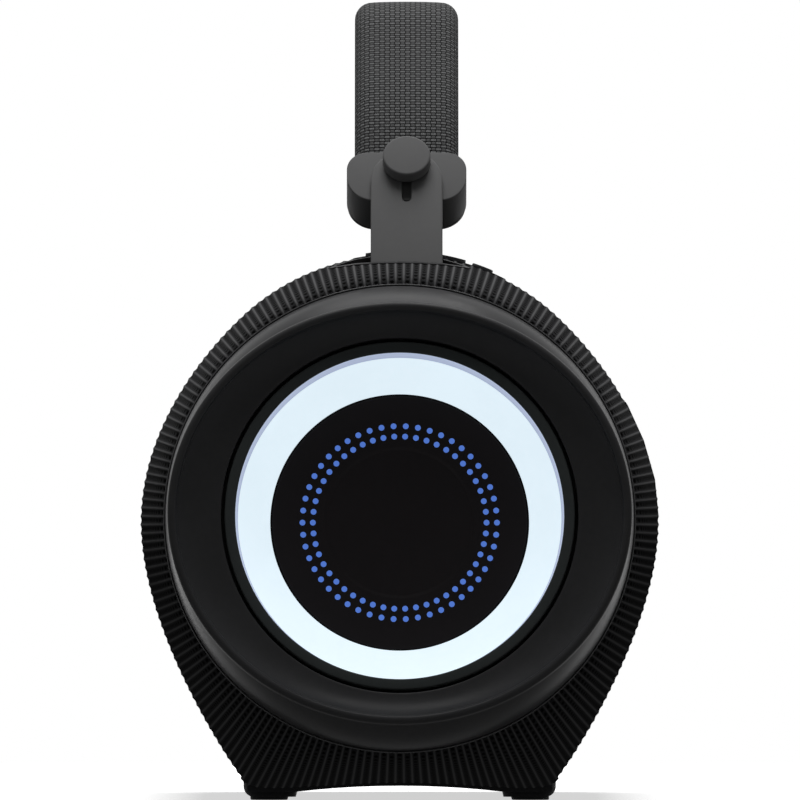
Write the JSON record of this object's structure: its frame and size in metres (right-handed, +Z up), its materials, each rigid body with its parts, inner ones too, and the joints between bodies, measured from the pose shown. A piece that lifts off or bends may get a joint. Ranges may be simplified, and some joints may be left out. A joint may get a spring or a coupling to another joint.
{
  "type": "portable speaker",
  "caption": "Portable barrel speaker in ribbed fabric with glowing end rings, passive radiators and a padded carry strap buttoned to bars at its ends.",
  "frame": {"origin": "on the surface it stands on, under the centre of the bounding box", "axes": "+X along the barrel to its right end, +Y to the back with the port flap, -Y the front, +Z up"},
  "size_m": [0.34, 0.1651, 0.2545],
  "materials": {
    "sleeve_fabric": "ribbed mesh knit",
    "shell_plastic": "moulded",
    "base_plastic": "moulded, fine texture",
    "foot_rubber": "matt",
    "screw_steel": "zinc plated",
    "bezel_plastic": "satin",
    "trim_gloss": "glossy trim",
    "gasket_rubber": "soft satin",
    "light_diffuser": "milky diffuser",
    "circuit_board": "solder mask",
    "frame_plastic": "moulded",
    "roll_rubber": "matt",
    "disc_plastic": "satin",
    "dot_lens": "blue lens",
    "driver_steel": "painted",
    "magnet": "ferrite with steel plates",
    "cone_pulp": "coated cone",
    "tweeter_metal": "dome and plate",
    "battery_wrap": "shrink wrap",
    "panel_rubber": "matt",
    "key_rubber": "matt",
    "flap_rubber": "matt",
    "pocket_plastic": "moulded",
    "bar_steel": "dark plated",
    "strap_fabric": "coarse basket weave over padding",
    "strap_rubber": "matt grey"
  },
  "bodies": {
    "root": {"fabric_sleeve": "sleeve_fabric", "shell_front": "shell_plastic", "shell_rear": "shell_plastic", "base_plate": "base_plastic", "foot_rail_front": "base_plastic", "foot_rail_rear": "base_plastic", "foot_pad_front": "foot_rubber", "foot_pad_rear": "foot_rubber", "base_screws": "screw_steel", "end_bezel_right": "bezel_plastic", "end_bezel_left": "bezel_plastic", "trim_ring_right": "trim_gloss", "trim_ring_left": "trim_gloss", "gasket_ring_right": "gasket_rubber", "gasket_ring_left": "gasket_rubber", "light_ring_right": "light_diffuser", "light_ring_left": "light_diffuser", "led_board_right": "circuit_board", "led_board_left": "circuit_board", "radiator_frame_right": "frame_plastic", "radiator_frame_left": "frame_plastic", "radiator_surround_right": "roll_rubber", "radiator_surround_left": "roll_rubber", "driver_baffle": "shell_plastic", "woofer_frame_right": "driver_steel", "woofer_frame_left": "driver_steel", "woofer_magnet_right": "magnet", "woofer_magnet_left": "magnet", "woofer_surround_right": "roll_rubber", "woofer_surround_left": "roll_rubber", "tweeter_upper": "tweeter_metal", "tweeter_lower": "tweeter_metal", "main_board": "circuit_board", "battery_pack": "battery_wrap", "control_panel": "panel_rubber", "port_panel": "panel_rubber", "anchor_pocket_right": "pocket_plastic", "anchor_pocket_left": "pocket_plastic", "anchor_bar_right": "bar_steel", "anchor_bar_left": "bar_steel"},
    "handle": {"handle_grip": "strap_fabric", "handle_cap_right": "strap_rubber", "handle_cap_left": "strap_rubber", "handle_tab_right": "strap_rubber", "handle_tab_left": "strap_rubber", "handle_stud_right": "strap_rubber", "handle_stud_left": "strap_rubber"},
    "radiator_right": {"radiator_disc_right": "disc_plastic", "marker_dots_right": "dot_lens"},
    "radiator_left": {"radiator_disc_left": "disc_plastic", "marker_dots_left": "dot_lens"},
    "woofer_cone_right": {"woofer_cone_right": "cone_pulp"},
    "woofer_cone_left": {"woofer_cone_left": "cone_pulp"},
    "minus_button": {"minus_button": "key_rubber"},
    "play_button": {"play_button": "key_rubber"},
    "plus_button": {"plus_button": "key_rubber"},
    "power_button": {"power_button": "key_rubber"},
    "pairing_button": {"pairing_button": "key_rubber"},
    "link_button": {"link_button": "key_rubber"},
    "port_flap": {"port_flap": "flap_rubber"}
  },
  "joints": [
    {"name": "handle_slide", "type": "slide", "parent": "root", "child": "handle", "axis": [0, 1, 0], "range_m": [-0.0052, 0.0008]},
    {"name": "radiator_right_travel", "type": "slide", "parent": "root", "child": "radiator_right", "axis": [0.9925, 0, 0.1219], "range_m": [-0.003, 0.003], "stiffness_N_per_m": 800, "deforming": ["radiator_surround_right"]},
    {"name": "radiator_left_travel", "type": "slide", "parent": "root", "child": "radiator_left", "axis": [-0.9925, 0, 0.1219], "range_m": [-0.003, 0.003], "stiffness_N_per_m": 800, "deforming": ["radiator_surround_left"]},
    {"name": "woofer_right_travel", "type": "slide", "parent": "root", "child": "woofer_cone_right", "axis": [0, -1, 0], "range_m": [-0.003, 0.003], "stiffness_N_per_m": 1000, "deforming": ["woofer_surround_right"]},
    {"name": "woofer_left_travel", "type": "slide", "parent": "root", "child": "woofer_cone_left", "axis": [0, -1, 0], "range_m": [-0.003, 0.003], "stiffness_N_per_m": 1000, "deforming": ["woofer_surround_left"]},
    {"name": "minus_press", "type": "slide", "parent": "root", "child": "minus_button", "axis": [0, 0.0698, 0.9976], "range_m": [-0.0008, 0], "stiffness_N_per_m": 500},
    {"name": "play_press", "type": "slide", "parent": "root", "child": "play_button", "axis": [0, 0.0698, 0.9976], "range_m": [-0.0008, 0], "stiffness_N_per_m": 500},
    {"name": "plus_press", "type": "slide", "parent": "root", "child": "plus_button", "axis": [0, 0.0698, 0.9976], "range_m": [-0.0008, 0], "stiffness_N_per_m": 500},
    {"name": "power_press", "type": "slide", "parent": "root", "child": "power_button", "axis": [0, 0.3551, 0.9348], "range_m": [-0.0008, 0], "stiffness_N_per_m": 400},
    {"name": "pairing_press", "type": "slide", "parent": "root", "child": "pairing_button", "axis": [0, 0.3551, 0.9348], "range_m": [-0.0008, 0], "stiffness_N_per_m": 400},
    {"name": "link_press", "type": "slide", "parent": "root", "child": "link_button", "axis": [0, 0.3551, 0.9348], "range_m": [-0.0008, 0], "stiffness_N_per_m": 400},
    {"name": "flap_hinge", "type": "hinge", "parent": "root", "child": "port_flap", "pos_m": [0, 0.0794, 0.09], "axis": [-1, 0, 0], "range_deg": [0, 100]}
  ]
}
